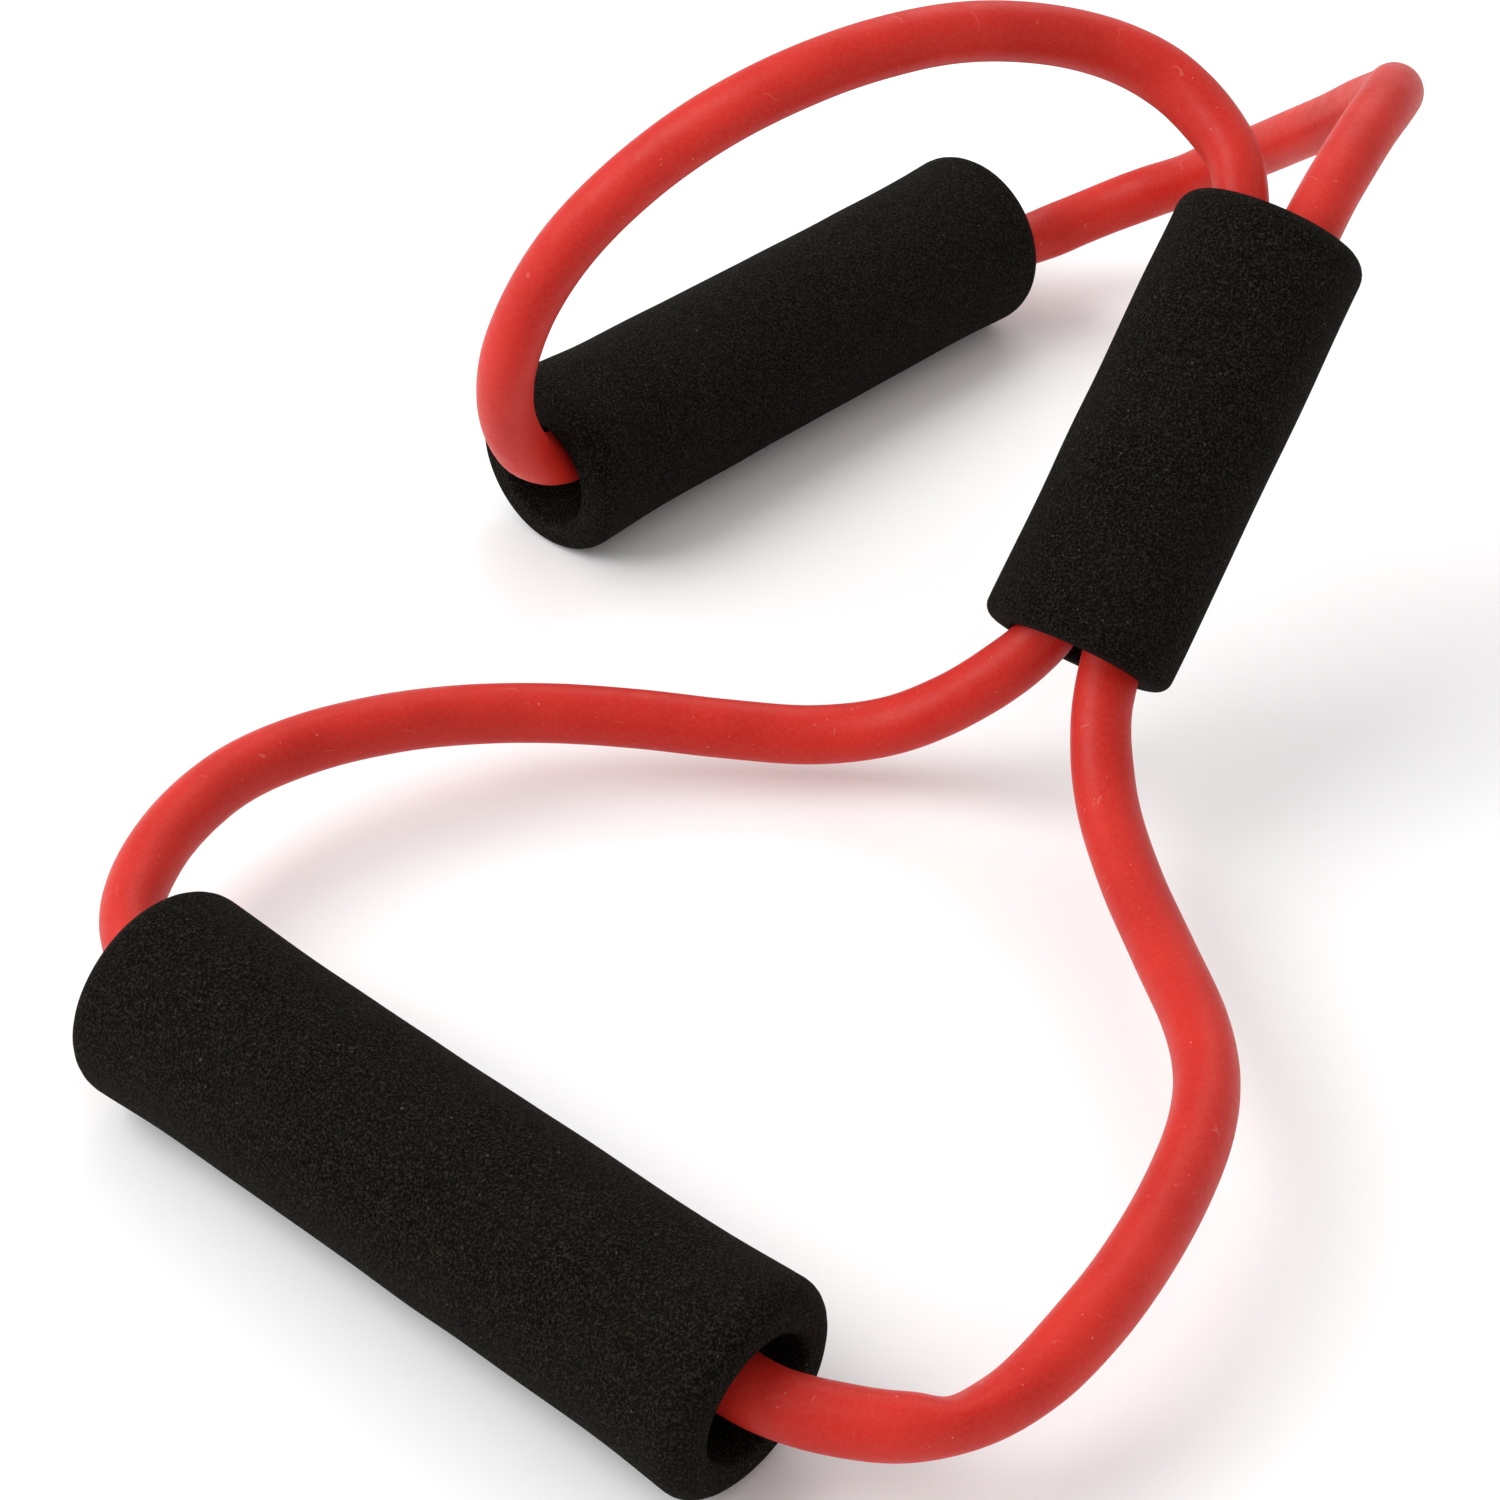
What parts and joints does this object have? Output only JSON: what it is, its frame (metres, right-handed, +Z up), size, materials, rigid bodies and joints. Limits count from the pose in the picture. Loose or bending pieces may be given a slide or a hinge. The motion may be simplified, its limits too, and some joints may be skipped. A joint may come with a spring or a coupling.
{
  "type": "figure-8 resistance band",
  "caption": "Loose figure-8 exercise band: one elastic rubber tube in two loops, a foam hand grip on each loop and a foam sleeve where the loops meet.",
  "frame": {"origin": "on the surface the band lies on, under the middle of the box round the two grips and the centre sleeve", "axes": "+Z up; +Y from the front grip towards the rear grip; +X towards the side on which the sleeve stands"},
  "size_m": [0.2321, 0.3603, 0.125],
  "materials": {
    "foam": "matte fine-cell black NBR foam",
    "rubber_tube": "matte red latex, faintly dusty",
    "joint_plug": "moulded natural nylon",
    "ferrule": "crimped, satin"
  },
  "bodies": {
    "tube_centre": {"tube_in_sleeve_left": "rubber_tube", "tube_in_sleeve_right": "rubber_tube"},
    "sleeve": {"centre_sleeve": "foam"},
    "front_loop": {"tube_in_front_grip": "rubber_tube", "tube_front_left": "rubber_tube", "tube_front_right": "rubber_tube"},
    "front_hand": {"front_grip": "foam"},
    "rear_loop": {"tube_end_left": "rubber_tube", "tube_end_right": "rubber_tube", "tube_joint_plug": "joint_plug", "tube_ferrule_left": "ferrule", "tube_ferrule_right": "ferrule", "tube_rear_left": "rubber_tube", "tube_rear_right": "rubber_tube"},
    "rear_hand": {"rear_grip": "foam"}
  },
  "joints": [
    {"name": "centre_sleeve_slide", "type": "slide", "parent": "tube_centre", "child": "sleeve", "axis": [0.3912, 0.6236, 0.6769], "range_m": [-0.005, 0.005]},
    {"name": "front_loop_stretch", "type": "slide", "parent": "tube_centre", "child": "front_loop", "axis": [-0.6252, -0.7804, 0], "range_m": [0, 0.2], "stiffness_N_per_m": 300, "deforming": ["tube_front_left", "tube_front_right"]},
    {"name": "front_grip_spin", "type": "hinge", "parent": "front_loop", "child": "front_hand", "pos_m": [-0.0452, -0.1243, 0.0184], "axis": [0.7804, -0.6252, 0], "continuous": true},
    {"name": "rear_loop_stretch", "type": "slide", "parent": "tube_centre", "child": "rear_loop", "axis": [-0.7361, 0.6769, 0], "range_m": [0, 0.2], "stiffness_N_per_m": 300, "deforming": ["tube_rear_left", "tube_rear_right"]},
    {"name": "rear_grip_spin", "type": "hinge", "parent": "rear_loop", "child": "rear_hand", "pos_m": [0.0012, 0.1188, 0.0184], "axis": [0.6769, 0.7361, 0], "continuous": true}
  ]
}
